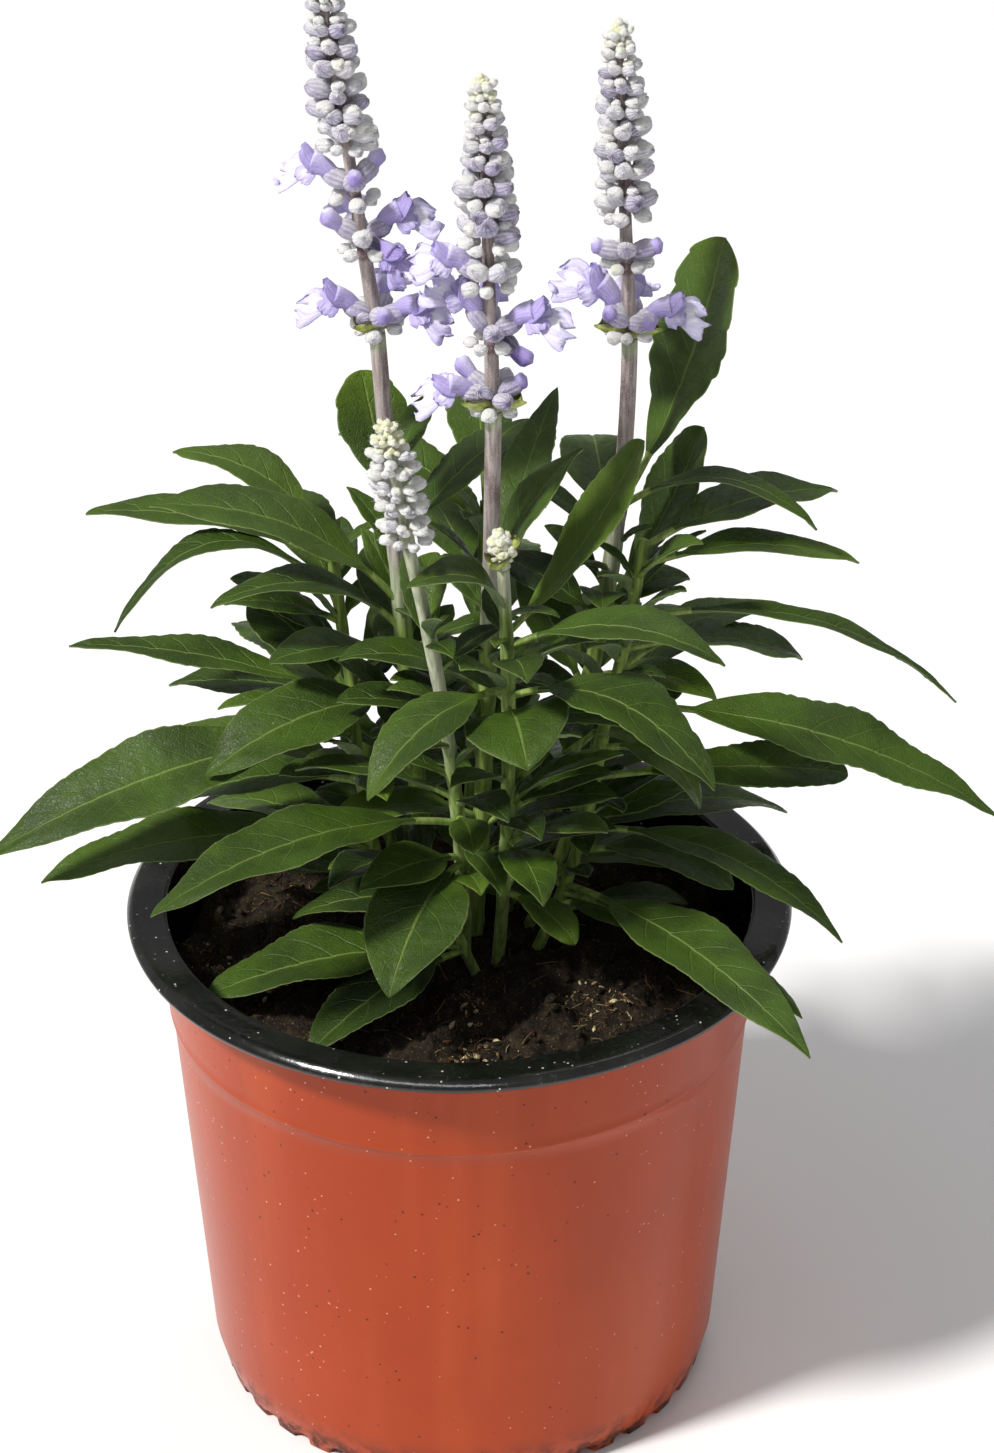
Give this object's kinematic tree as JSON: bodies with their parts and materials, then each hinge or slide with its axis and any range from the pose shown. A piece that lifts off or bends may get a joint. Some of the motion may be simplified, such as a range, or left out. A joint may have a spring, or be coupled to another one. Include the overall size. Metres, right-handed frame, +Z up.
{
  "type": "potted mealycup sage",
  "caption": "Bushy young mealycup sage with violet flower spikes in a round plastic nursery pot filled with soil; stands on its flat underside.",
  "frame": {"origin": "centre of the pot's flat underside, on the surface that it stands on", "axes": "+Z up along the pot's axis, +X to the right and -Y to the front as the plant is seen from its front"},
  "size_m": [0.2099, 0.1553, 0.316],
  "materials": {
    "pot": "satin",
    "soil": "matte",
    "foliage": "satin",
    "blossom": "matte",
    "white_buds": "matte"
  },
  "bodies": {
    "root": {"pot": "pot", "soil": "soil", "stem_left_spike": "foliage", "stem_middle_spike": "foliage", "stem_right_spike": "foliage", "stem_young_spike": "foliage", "stem_bud_spike": "foliage", "shoot_left_low": "foliage", "shoot_left_high": "foliage", "shoot_right_low": "foliage", "shoot_right_high": "foliage", "shoot_back": "foliage", "shoot_front": "foliage", "flowers_left": "blossom", "flowers_middle": "blossom", "flowers_right": "blossom", "flowers_young": "white_buds", "flowers_bud": "white_buds"}
  },
  "joints": []
}
